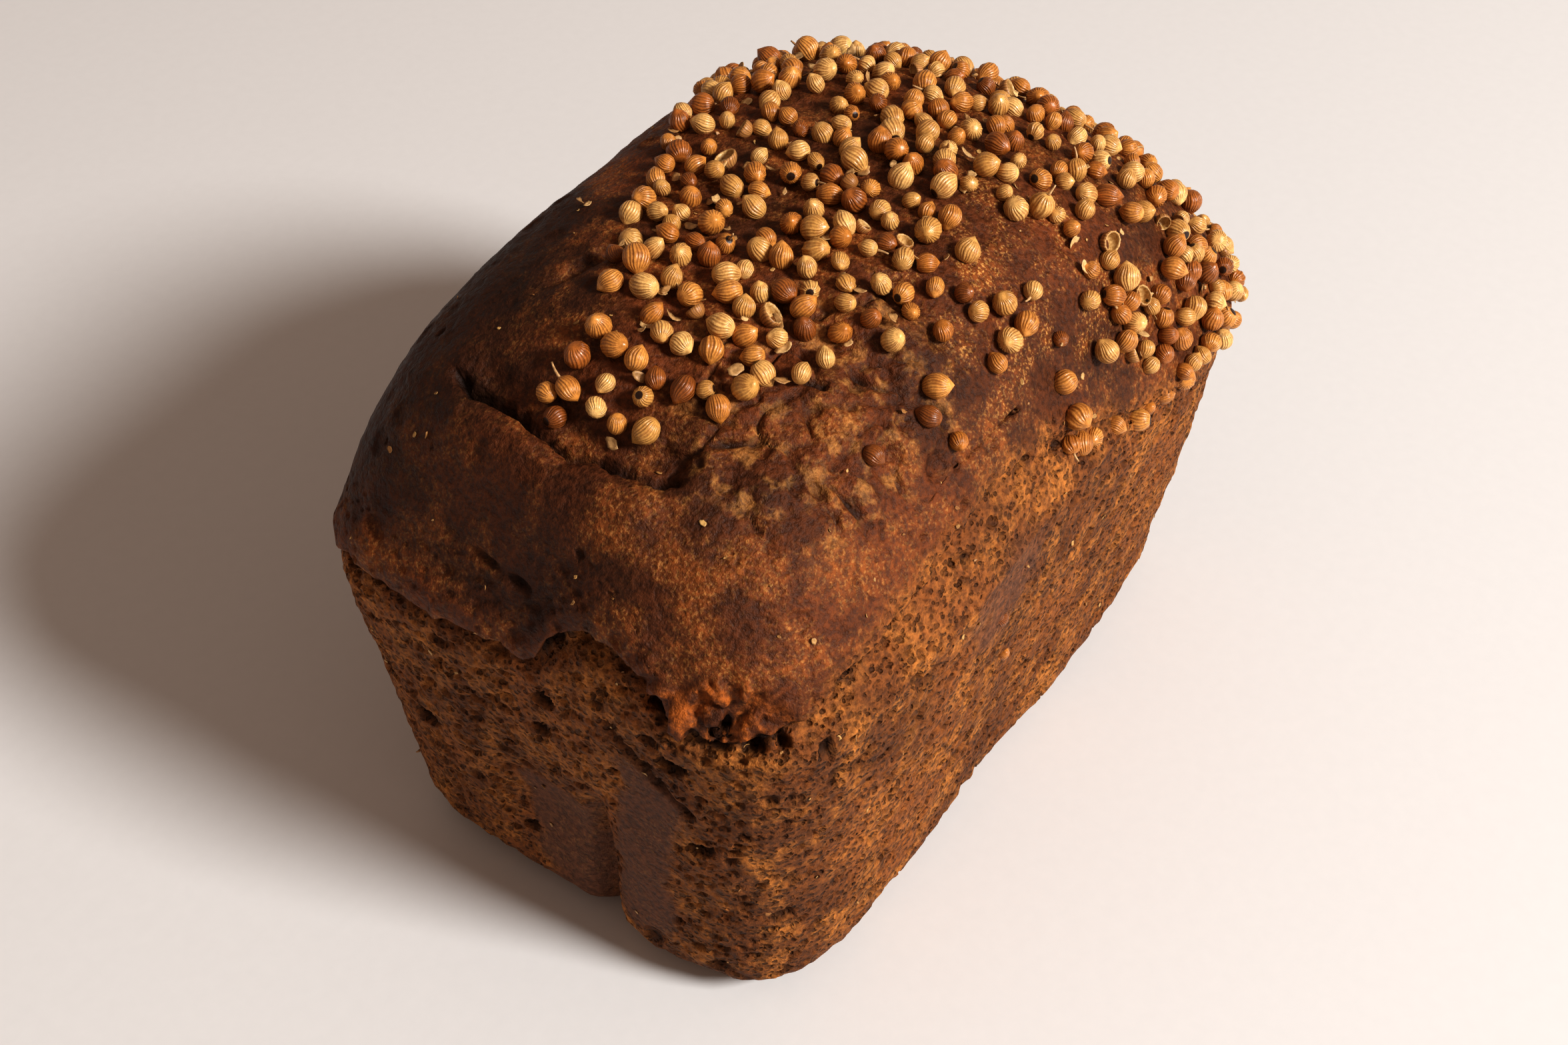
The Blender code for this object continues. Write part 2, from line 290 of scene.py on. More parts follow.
def plain_loaf(block):
    """Shape block coordinates (sides at 1, rows up to SIDE_ROWS) into the plain loaf."""
    edge = np.abs(block[:, :2]).max(axis=1)
    way = block[:, :2] / np.maximum(edge, 1e-9)[:, None]
    way = np.where(edge[:, None] > 1e-6, way, np.array([1.0, 0.0]))
    side = skin_point(way, row_height(way, block[:, 2]))
    top = crown_point(way, edge * CROWN_TOP_SHARE)
    on_side = (edge > 1.0 - 1e-6)[:, None]
    return np.where(on_side, side, top)


def lip_relief(points):
    """The crust's nose over the wall, and the undercut beneath it."""
    x, y, z = points.T
    way = square_way(x, y)
    above = z - lip_height(way)
    strength = by_side(way, *LIP_STRENGTH) * (0.85 + 0.35 * lumps(points, 14.0 * MM, 3))
    nose = LIP_OUT * bell(above, 2.4 * MM, 3.6 * MM)
    undercut = LIP_UNDERCUT * bell(above, -1.8 * MM, 1.9 * MM)
    return strength * np.where(above > -0.2 * MM, nose, -undercut)


def fold_relief(points):
    """The crevice across the crown, with the flap that stands in front of it."""
    x, y, z = points.T
    line = FOLD_LINE - 1.5 * MM * bell(y, 1.0 * MM, 5.0 * MM)
    line = line + 1.5 * MM * ramp(np.abs(y - 4.0 * MM), 10.0 * MM, 22.0 * MM)
    behind = x - line
    reach = ramp(y, FOLD_ENDS[0], FOLD_ENDS[0] + 6.0 * MM)
    reach = reach * (1.0 - ramp(y, FOLD_ENDS[1] - 8.0 * MM, FOLD_ENDS[1]))
    crevice = FOLD_DEPTH * bell(behind, 1.4 * MM, FOLD_WIDTH)
    sunk = 1.2 * MM * bell(behind, 7.0 * MM, 6.0 * MM)
    flap = FLAP_RISE * bell(behind, -3.0 * MM, 4.5 * MM)
    return ramp(z, 80.0 * MM, 88.0 * MM) * reach * (flap - crevice - sunk)


def crown_relief(points):
    """Lumps, a short crease and dents of the crown."""
    x, y, z = points.T
    on_crown = ramp(z, 76.0 * MM, 90.0 * MM)
    middle = bell(x, -26.0 * MM, 26.0 * MM) * bell(y, -14.0 * MM, 20.0 * MM)
    rough = LUMP_RISE * (0.25 + 0.75 * middle) * lumps(points, 7.5 * MM, 5)
    swell = 1.1 * MM * lumps(points, 22.0 * MM, 8)
    across = (y - 18.5 * MM) + 0.36 * (x + 31.0 * MM)
    crease = 1.7 * MM * bell(across, 0.0, 1.6 * MM) * bell(x, -31.0 * MM, 9.0 * MM, 4)
    dent = 1.3 * MM * bell(x, -35.0 * MM, 3.0 * MM) * bell(y, -35.0 * MM, 3.0 * MM)
    return on_crown * (rough + swell - crease - dent)


def end_relief(points):
    """The upright crease, the hollow beside it and the tear on the near end."""
    x, y, z = points.T
    on_end = ramp(-x, 55.0 * MM, 63.0 * MM)
    foot = 1.0 - ramp(z, 28.0 * MM, 46.0 * MM)
    crease = CREASE_DEPTH * foot * bell(y, CREASE_PLACE + CREASE_LEAN * z, 2.4 * MM)
    hollow = HOLLOW_DEPTH * bell(y, 3.0 * MM, 9.0 * MM, 4) * bell(z, 27.0 * MM, 14.0 * MM)
    swell = 1.0 * MM * foot * bell(y, -17.0 * MM, 6.0 * MM)
    tear = TEAR_DEPTH * bell(y, -35.0 * MM, 5.0 * MM) * bell(z, 73.0 * MM, 3.5 * MM)
    return on_end * (swell - crease - hollow - tear)


def wall_relief(points):
    """Slow waves of the wall, and the corner that spreads at its foot."""
    x, y, z = points.T
    way = square_way(x, y)
    unit = way / np.linalg.norm(way, axis=1)[:, None]
    corner = np.clip(-(unit[:, 0] + unit[:, 1]) / np.sqrt(2.0), 0.0, 1.0) ** 14
    spread = CORNER_PUSH * corner * (1.0 - ramp(z, 6.0 * MM, 42.0 * MM))
    waves = WALL_WAVE * lumps(points, 26.0 * MM, 1) + 0.4 * WALL_WAVE * lumps(points, 11.0 * MM, 2)
    return spread + waves * (1.0 - ramp(z, 84.0 * MM, 96.0 * MM))


def relief(points):
    """Height of every pressed or raised form over the plain loaf."""
    forms = (lip_relief, fold_relief, crown_relief, end_relief, wall_relief)
    return sum(form(points) for form in forms)


# ---- Finer forms of the crust, in the centred frame ----

def randoms(cells, seed, count):
    """Random numbers from 0 to 1 that belong to whole-number cells."""
    key = cells @ np.array([73856093, 19349663, 83492791]) + seed * 9176351
    found = []
    for number in range(count):
        mixed = ((key ^ (key >> 13)) * (1274126177 + 2 * number)) & 0x7FFFFFFFFF
        mixed = ((mixed ^ (mixed >> 17)) * 668265263) & 0x7FFFFFFFFF
        found.append(((mixed ^ (mixed >> 15)) % 65536) / 65535.0)
        key = key + 40503
    return found


def pits(points, cell, share, least, most, seed, stretch=(1.0, 1.0, 1.0)):
    """Depth of round pits scattered through space, one or none in each cell."""
    grid = points / (cell * np.array(stretch))
    base = np.floor(grid - 0.5).astype(np.int64)
    depth = np.zeros(len(points))
    for corner in range(8):
        home = base + np.array([corner & 1, corner >> 1 & 1, corner >> 2 & 1])
        chance, size, across, along, up = randoms(home, seed, 5)
        middle = home + np.stack([across, along, up], axis=1)
        radius = (least + (most - least) * size ** 1.5) / cell
        gap = np.linalg.norm(grid - middle, axis=1) / radius
        inside = np.clip(1.0 - gap * gap, 0.0, 1.0) ** 0.38
        depth = np.maximum(depth, np.where(chance < share, inside * radius * cell, 0.0))
    return depth


def from_path(points, path):
    """Distance from a path of straight stretches, given in millimetres."""
    corners = np.array(path) * MM
    nearest = np.full(len(points), 1.0)
    for start, end in zip(corners[:-1], corners[1:]):
        along = end - start
        share = np.clip((points - start) @ along / (along @ along), 0.0, 1.0)
        gap = np.linalg.norm(points - start - share[:, None] * along, axis=1)
        nearest = np.minimum(nearest, gap)
    return nearest


def patch(points, middle, reach, ragged=0.0, seed=30):
    """1 inside an ellipsoid, falling to 0 outside it, with a ragged edge."""
    gap = np.linalg.norm((points - np.array(middle) * MM) / (np.array(reach) * MM), axis=1)
    if ragged:
        gap = gap + ragged * lumps(points, 5.0 * MM, seed)
    return 1.0 - ramp(gap, 0.75, 1.15)


# Cracks, each by its two ends in millimetres; they wander on the way
END_CRACK = ((-74, -15, 62), (-72, -28, 50))
UPPER_CRACK = ((-71, 13, 81), (-72, 0, 79))
CROWN_CRACKS = (
    ((-44, -30, 97), (-43, -37, 91)),
    ((-36, -16, 103), (-33, -23, 101)),
    ((-52, -14, 99), (-45, -21, 98)),
    ((-28, -25, 101), (-27, -33, 96)),
)


def zones(points):
    """Where each kind of surface is, and where shade is painted on the crown's left, from 0 to 1."""
    x, y, z = points.T
    way = square_way(x, y)
    wobble = 1.5 * MM * lumps(points, 6.0 * MM, 11) + 0.8 * MM * lumps(points, 2.4 * MM, 12)
    above = z - lip_height(way) + wobble
    near = ramp(-x, 58.0 * MM, 66.0 * MM)
    right = ramp(-y, 28.0 * MM, 38.0 * MM) * (1.0 - near)
    found = {"above": above, "near": near, "right": right}
    found["wall"] = 1.0 - ramp(above, -1.0 * MM, 1.0 * MM + 3.0 * MM * right)
    band = bell(y, -19.0 * MM - 0.1 * (z - 35.0 * MM), 5.5 * MM, 4) * bell(z, 33.0 * MM, 25.0 * MM, 6)
    heel = bell(y, -1.0 * MM, 8.5 * MM, 4) * (1.0 - ramp(z, 28.0 * MM, 40.0 * MM))
    ragged = 0.45 * lumps(points, 4.5 * MM, 13)
    end_smooth = near * ramp(np.maximum(band, heel) + ragged, 0.35, 0.75)
    stretch = 0.7 * patch(points, (-18.5, -47, 63), (11.5, 6, 9.0), 0.25)
    found["smooth"] = np.maximum(end_smooth, stretch)
    found["torn"] = patch(points, (-71, -32, 73), (6.5, 12, 4.8), 0.6)
    # painted shade over the crown's left side and the near end's upper left, which face away from the key
    # light
    painted_shade_left = patch(points, (-40, 42, 84), (40, 31, 28), 0.2)
    painted_shade_left = np.maximum(painted_shade_left, 0.62 * patch(points, (-67, 14, 84), (13, 29, 15), 0.2))
    found["painted_shade_left"] = painted_shade_left * (1.0 - found["wall"])
    rough = patch(points, (-36, -24, 98), (25, 20, 14), 0.3)
    found["rough"] = rough * (1.0 - found["wall"])
    bare = patch(points, (10, -31, 98), (26, 17, 24), 0.2)
    found["bare"] = bare * (1.0 - found["wall"])
    return found


def fine_relief(points, where):
    """Depth of the pores, cracks and torn places, height of the grain, and how much shade to paint in the
    hollows.
    """
    x, y, z = points.T
    above, near, right = where["above"], where["near"], where["right"]
    band = near * (1.0 - ramp(above, 6.0 * MM, 14.0 * MM))
    porous = np.maximum(where["wall"], 0.55 * band) * (1.0 - 0.93 * where["smooth"])
    shown = 0.55 + 0.45 * np.maximum(near, right)
    porous = porous * shown
    slope = 0.16 * np.where(near > 0.5, y, 0.0)
    tilted = np.stack([x, y, z + slope], axis=1)
    big = pits(tilted, 7.5 * MM, 0.50, 1.0 * MM, 2.4 * MM, 21, (1.3, 1.3, 0.85))
    middling = pits(tilted, 3.6 * MM, 0.80, 0.62 * MM, 1.45 * MM, 22, (1.3, 1.3, 0.8))
    small = pits(tilted, 2.1 * MM, 0.85, 0.38 * MM, 0.86 * MM, 23, (1.3, 1.3, 0.85))
    tiny = pits(tilted, 1.3 * MM, 0.8, 0.25 * MM, 0.5 * MM, 24, (1.2, 1.2, 0.9))
    coarse = 0.65 + 0.35 * ramp(lumps(points, 15.0 * MM, 14), -0.5, 0.5)
    big = big * (0.45 + 0.55 * near)
    pore = porous * np.maximum(np.maximum(big, middling * coarse) * 1.15, np.maximum(small, tiny) * 1.2)

    edge = ramp(above, 0.0, 2.0 * MM) * (1.0 - ramp(above, 5.0 * MM, 10.0 * MM))
    edge_holes = edge * right * pits(points, 3.2 * MM, 0.42, 0.4 * MM, 1.1 * MM, 25)
    crown_holes = (1.0 - where["wall"]) * pits(points, 6.5 * MM, 0.20, 0.3 * MM, 0.9 * MM, 26)

    strength = by_side(square_way(x, y), 1.0, 0.45, 0.12, 0.45)
    open_here = ramp(lumps(points, 8.0 * MM, 15), -0.75, -0.1)
    slot = 3.2 * MM * bell(above, -0.9 * MM, 0.95 * MM, 4) * strength * open_here
    line = FOLD_LINE - 1.5 * MM * bell(y, 1.0 * MM, 5.0 * MM)
    line = line + 1.5 * MM * ramp(np.abs(y - 4.0 * MM), 10.0 * MM, 22.0 * MM)
    behind = x - line + 1.0 * MM * lumps(points, 3.5 * MM, 16) + 0.5 * MM * lumps(points, 1.4 * MM, 20)
    reach = ramp(y, FOLD_ENDS[0], FOLD_ENDS[0] + 5.0 * MM)
    reach = reach * (1.0 - ramp(y, FOLD_ENDS[1] - 6.0 * MM, FOLD_ENDS[1])) * ramp(z, 80 * MM, 88 * MM)
    fold = 3.0 * MM * reach * bell(behind, 0.9 * MM, 0.9 * MM, 4)

    wander = 0.5 * MM * lumps(points, 2.5 * MM, 17)
    crack = 2.2 * MM * bell(from_path(points, END_CRACK) + wander, 0.0, 0.75 * MM)
    crack = np.maximum(crack, 1.5 * MM * bell(from_path(points, UPPER_CRACK) + wander, 0.0, 0.7 * MM))
    for path in CROWN_CRACKS:
        crack = np.maximum(crack, 1.4 * MM * bell(from_path(points, path) + wander, 0.0, 0.6 * MM))
    veins = np.abs(lumps(points, 5.0 * MM, 18) + 0.4 * lumps(points, 2.4 * MM, 19))
    crack = np.maximum(crack, 0.9 * MM * where["rough"] * bell(veins, 0.0, 0.10))
    crater = 1.6 * MM * bell(from_path(points, ((-33.5, -35, 95), (-33, -35.5, 94.5))), 0.0, 2.0 * MM, 4)

    shreds = ramp(lumps(points, 2.2 * MM, 31) + 0.5 * lumps(points, 1.1 * MM, 32), -0.35, 0.25)
    tatter = where["torn"] * (shreds * 1.5 * MM - 0.7 * MM)
    tatter = tatter + where["torn"] * pits(points, 4.4 * MM, 0.7, 1.0 * MM, 2.0 * MM, 27) * 1.5
    dimples = (where["rough"] + 0.35 * (1.0 - where["wall"])).clip(0, 1)
    dimples = dimples * pits(points, 5.5 * MM, 0.55, 1.0 * MM, 2.4 * MM, 28) * 0.5

    hollow = pore + edge_holes + crown_holes + slot + fold + crack + tatter
    wall_grain = 0.28 * MM * lumps(points, 2.3 * MM, 41) + 0.16 * MM * lumps(points, 1.1 * MM, 42)
    crust_grain = 0.10 * MM * lumps(points, 1.5 * MM, 43) + 0.07 * MM * lumps(points, 0.9 * MM, 44)
    crust_grain = crust_grain + where["rough"] * 0.55 * MM * lumps(points, 3.2 * MM, 45)
    wall_grain = wall_grain * (1.0 - 0.7 * where["smooth"])
    rough_share = np.maximum(where["wall"], 0.8 * band)
    grain = rough_share * wall_grain + (1.0 - rough_share) * crust_grain
    # painted shade: the colour darkens with the depth of the pores, cracks and folds; this goes back as the
    # second value
    dark = ramp(hollow - 0.2 * tatter, 0.3 * MM, 1.4 * MM)
    return grain - hollow - crater - dimples, dark


def overhang(points, where):
    """Let the crust's edge hang down over the gap under it."""
    way = square_way(points[:, 0], points[:, 1])
    strength = by_side(way, 1.0, 0.5, 0.1, 0.4)
    drop = 0.9 * MM * strength * bell(where["above"], 0.7 * MM, 1.3 * MM, 4)
    moved = points.copy()
    moved[:, 2] -= drop
    return moved


# ---- Loaf mesh ----

def fine_block():
    """Block coordinates and faces of the finer block: top, side and base patches."""
    ticks_x = np.linspace(-1.0, 1.0, FINE_X + 1)
    ticks_y = np.linspace(-1.0, 1.0, FINE_Y + 1)
    rows = np.concatenate([np.linspace(a, b, n, endpoint=False) for a, b, n in FINE_ROWS])
    ring = [(x, -1.0) for x in ticks_x[:-1]] + [(1.0, y) for y in ticks_y[:-1]]
    ring += [(x, 1.0) for x in ticks_x[:0:-1]] + [(-1.0, y) for y in ticks_y[:0:-1]]
    ring = np.array(ring)
    count = len(ring)
    side = np.concatenate([np.column_stack([ring, np.full(count, row)]) for row in rows])
    inner_x, inner_y = np.meshgrid(ticks_x, ticks_y, indexing="ij")
    top = np.column_stack([inner_x.ravel(), inner_y.ravel(), np.full(inner_x.size, SIDE_ROWS)])
    points = np.concatenate([side, top])

    step = np.arange(count)
    after = (step + 1) % count
    number = np.arange(inner_x.size).reshape(inner_x.shape) + len(side)
    rim = np.concatenate([number[:-1, 0], number[-1, :-1], number[:0:-1, -1], number[0, :0:-1]])
    faces = []
    for row in range(len(rows)):
        low = row * count + step
        low_after = row * count + after
        if row + 1 < len(rows):
            high, high_after = low + count, low_after + count
        else:
            high, high_after = rim[step], rim[after]
        faces.append(np.column_stack([low, low_after, high_after, high]))
    a, b = number[:-1, :-1].ravel(), number[1:, :-1].ravel()
    c, d = number[1:, 1:].ravel(), number[:-1, 1:].ravel()
    faces.append(np.column_stack([a, b, c, d]))
    return points, np.concatenate(faces), count


def mesh_from(name, points, faces, extra=()):
    """Mesh of quads or triangles, with any extra faces after them."""
    mesh = bpy.data.meshes.new(name)
    mesh.from_pydata(points.tolist(), [], faces.tolist() + [list(face) for face in extra])
    mesh.update()
    return mesh


def normals_of(mesh):
    found = np.zeros(len(mesh.vertices) * 3, np.float32)
    mesh.vertex_normals.foreach_get("vector", found)
    return found.reshape(-1, 3).astype(float)


def move_to(mesh, points):
    mesh.vertices.foreach_set("co", points.astype(np.float32).ravel())
    mesh.update()


def store(mesh, name, values):
    """Keep one number for each point, for the material."""
    layer = mesh.attributes.new(name, "FLOAT", "POINT")
    layer.data.foreach_set("value", np.asarray(values, np.float32))


def make_loaf():
    """The loaf's mesh with its finer forms; gives it and the smooth skin that seeds lie on."""
    block, faces, count = fine_block()
    points = plain_loaf(block)
    mesh = mesh_from("loaf_crust", points, faces, [range(count - 1, -1, -1)])
    normals = normals_of(mesh)
    normals[:, 2] *= ramp(points[:, 2], 0.0, BASE_EDGE)
    points = points + normals * relief(points)[:, None]
    middle = (points.min(axis=0) + points.max(axis=0)) / 2.0
    middle[2] = 0.0
    points = points - middle
    move_to(mesh, points)
    skin = (points.copy(), normals_of(mesh))

    where = zones(points)
    height, dark = fine_relief(points, where)
    push = skin[1].copy()
    foot = ramp(points[:, 2], 0.0, 4.0 * MM)
    push[:, 2] *= foot
    points = points + push * height[:, None]
    points = overhang(points, where)
    points[:, 2] = np.maximum(points[:, 2], 0.0)
    move_to(mesh, points)
    for name in ("wall", "smooth", "torn", "rough", "bare", "painted_shade_left"):
        store(mesh, name, where[name])
    # painted shade in the hollows, kept for the material
    store(mesh, "pore", dark)

    loaf = bpy.data.objects.new("loaf_crust", mesh)
    bpy.context.collection.objects.link(loaf)
    thin(loaf, LOAF_TRIANGLES)
    return loaf, skin


def thin(piece, triangles):
    """Merge the flattest faces until the piece has the given number of triangles."""
    mesh = piece.data
    mesh.calc_loop_triangles()
    change = piece.modifiers.new("thin", "DECIMATE")
    change.ratio = triangles / len(mesh.loop_triangles)
    applied = bpy.data.meshes.new_from_object(piece.evaluated_get(bpy.context.evaluated_depsgraph_get()))
    piece.modifiers.clear()
    piece.data = applied
    applied.shade_smooth()


# ---- Seeds, husks, stalks and flakes ----

def seeds_begin(y):
    """Where along the loaf the seeds begin: a tip by the fold that opens to the far end."""
    aside = (y - SEEDS_TIP[1]) / SEEDS_SPREAD
    right = SEEDS_SETBACK_RIGHT * np.clip(-aside, 0.0, None) ** 1.5
    left = SEEDS_SETBACK_LEFT * np.clip(aside, 0.0, None) ** 1.3
    return SEEDS_TIP[0] + right + left


def seed_share(points):
    """How thickly seeds lie at each point of the crown, from 0 to 1."""
    x, y, z = points.T
    inside = ramp(x - seeds_begin(y), -1.0 * MM, 2.0 * MM)
    low_edge = np.where(x > 20.0 * MM, 64.0 * MM, 75.0 * MM)
    inside = inside * ramp(z, low_edge, low_edge + 3.0 * MM)
    clumps = np.clip(0.80 + 0.9 * lumps(points, 7.5 * MM, 51), 0.04, 1.0)
    bare = patch(points, (10, -31, 97), (10, 12, 14), 0.15, 52)
    bare_low = patch(points, (-13, -38, 92), (14, 8, 13), 0.1, 52)
    chain = patch(points, (25, -38, 86), (5, 12, 14), 0.2, 53)
    fold = patch(points, (-47, 1, 100), (13, 10, 10), 0.2, 53)
    share = np.maximum(clumps, 0.9 * fold) * inside
    share = share * (1.0 - 0.97 * bare) * (1.0 - bare_low)
    return np.maximum(share, 0.9 * chain * inside)


def choose_sites(skin, share, count, gap, taken, tries=60000):
    """Places on the skin, at random but no closer than touching; taken holds (place, radius)."""
    points, normals = skin
    order = RANDOM.choice(len(points), size=tries, p=share / share.sum())
    chances = RANDOM.random(tries)
    chosen = []
    places = [place for place, radius in taken]
    radii = [radius for place, radius in taken]
    for index, chance in zip(order, chances):
        if len(chosen) == count:
            break
        radius = SEED_RADIUS[0] + (SEED_RADIUS[1] - SEED_RADIUS[0]) * chance ** 0.8
        place = points[index]
        if places:
            distance = np.linalg.norm(np.array(places) - place, axis=1)
            if (distance < gap * (np.array(radii) + radius)).any():
                continue
        chosen.append((place, normals[index], radius))
        places.append(place)
        radii.append(radius)
    return chosen


def seed_form(ridges, rings=12, open_share=0.0, depth=0.05, seed=0):
    """A ribbed seed of radius 1 with its tip at +Z: points, faces and marks for its lines."""
    draw = np.random.default_rng(seed)
    segments = ridges * 4
    angles = np.linspace(0.0, 2.0 * np.pi, segments, endpoint=False)
    crest = np.tile([1.0, 0.3, 0.0, 0.3], ridges)
    crest = crest * np.repeat(draw.uniform(0.5, 1.2, ridges), 4)
    dents = draw.uniform(-1.0, 1.0, 4)
    rises = np.linspace(np.pi, np.pi * open_share, rings)[1:]
    if not open_share:
        rises = rises[:-1]
    points, turns = [(0.0, 0.0, -0.95)], [0.0]
    for rise in rises:
        sway = 0.10 * np.sin(3.0 * rise + dents[0])
        height = np.cos(rise)
        fade = np.sin(rise) ** 0.5
        uneven = 0.03 * np.cos(2.0 * angles + 3.0 * dents[1]) + 0.025 * dents[2] * np.cos(angles + rise)
        reach = np.sin(rise) * (0.97 + depth * fade * crest + uneven)
        tip = 0.14 * max(height, 0.0) ** 12
        for turn, far in zip(angles, reach):
            points.append((far * np.cos(turn + sway), far * np.sin(turn + sway), height + tip))
            turns.append(turn)
    faces = []
    for segment in range(segments):
        after = (segment + 1) % segments
        faces.append((0, 1 + after, 1 + segment))
        for ring in range(len(rises) - 1):
            low = 1 + ring * segments
            high = low + segments
            faces.append((low + segment, low + after, high + after, high + segment))
    last = 1 + (len(rises) - 1) * segments
    if not open_share:
        points.append((0.0, 0.0, 1.24))
        turns.append(0.0)
        top = len(points) - 1
        faces += [(last + s, last + (s + 1) % segments, top) for s in range(segments)]
    return np.array(points), faces, np.array(turns), last, segments


def half_shell_form(ridges):
    """An empty half of a seed: ribbed outside, smooth inside, with a thin rim."""
    outer, faces, turns, last, segments = seed_form(ridges, 8, 0.44)
    inner = outer * 0.86 + np.array([0.0, 0.0, 0.02])
    start = len(outer)
    points = np.concatenate([outer, inner])
    inside = [tuple(start + corner for corner in reversed(face)) for face in faces]
    rim = []
    for segment in range(segments):
        after = (segment + 1) % segments
        rim.append((last + segment, last + after, start + last + after, start + last + segment))
    hollow = np.concatenate([np.zeros(start), np.ones(start)])
    return points, faces + inside + rim, np.concatenate([turns, turns]), hollow


def facing(direction, turn=None):
    """Matrix that carries +Z to the direction, with a random turn about it."""
    axis = np.asarray(direction, float) / np.linalg.norm(direction)
    helper = np.array([1.0, 0.0, 0.0]) if abs(axis[0]) < 0.8 else np.array([0.0, 1.0, 0.0])
    across = np.cross(helper, axis)
    across /= np.linalg.norm(across)
    other = np.cross(axis, across)
    angle = RANDOM.uniform(0.0, 2.0 * np.pi) if turn is None else turn
    spun = np.cos(angle) * across + np.sin(angle) * other
    return np.column_stack([spun, np.cross(axis, spun), axis])


class Heap:
    """Gathers many small forms into one mesh, with the numbers that its material reads."""

    def __init__(self, name):
        self.name = name
        self.points, self.faces, self.total = [], [], 0
        self.marks = {}

    def add(self, points, faces, **marks):
        self.points.append(points)
        self.faces += [tuple(corner + self.total for corner in face) for face in faces]
        for key, value in marks.items():
            self.marks.setdefault(key, []).append(np.broadcast_to(value, len(points)))
        self.total += len(points)

    def build(self, material):
        mesh = bpy.data.meshes.new(self.name)
        mesh.from_pydata(np.concatenate(self.points).tolist(), [], self.faces)
        mesh.update()
        mesh.shade_smooth()
        for key, values in self.marks.items():
            store(mesh, key, np.concatenate(values))
        mesh.materials.append(material)
        piece = bpy.data.objects.new(self.name, mesh)
        bpy.context.collection.objects.link(piece)
        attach(piece, "root")
        return piece


def tube(path, radius, sides=7):
    """Points and faces of a tapering stalk along a path."""
    path = np.array(path)
    points = []
    for number, place in enumerate(path):
        ahead = path[min(number + 1, len(path) - 1)] - path[max(number - 1, 0)]
        turned = facing(ahead, 0.0)
        thick = radius * (1.0 - 0.45 * number / (len(path) - 1))
        for side in range(sides):
            angle = 2.0 * np.pi * side / sides
            points.append(place + turned @ np.array([np.cos(angle), np.sin(angle), 0.0]) * thick)
    faces = [tuple(range(sides - 1, -1, -1))]
    for ring in range(len(path) - 1):
        for side in range(sides):
            low, after = ring * sides + side, ring * sides + (side + 1) % sides
            faces.append((low, after, after + sides, low + sides))
    faces.append(tuple(range((len(path) - 1) * sides, len(path) * sides)))
    return np.array(points), faces


def flake_form(length, width):
    """A thin curved chip of husk with an uneven outline, lying in the XY plane."""
    angles = np.linspace(0.0, 2.0 * np.pi, 13)[:-1]
    reach = RANDOM.uniform(0.72, 1.1, 12)
    bend = RANDOM.uniform(0.15, 0.5)
    points = []
    for share in (0.5, 1.0):
        x = share * reach * np.cos(angles) * length / 2
        y = share * reach * np.sin(angles) * width / 2
        points.append(np.column_stack([x, y, bend * (x * x + y * y) / width]))
    sheet = np.concatenate([[[0.0, 0.0, 0.0]], points[0], points[1]])
    under = sheet - np.array([0.0, 0.0, 0.09 * MM])
    faces = []
    for side in range(12):
        after = (side + 1) % 12
        faces.append((0, 1 + side, 1 + after))
        faces.append((1 + side, 13 + side, 13 + after, 1 + after))
    lower = [tuple(25 + corner for corner in reversed(face)) for face in faces]
    edge = []
    for side in range(12):
        after = (side + 1) % 12
        edge.append((13 + side, 25 + 13 + side, 25 + 13 + after, 13 + after))
    return np.concatenate([sheet, under]), faces + lower + edge


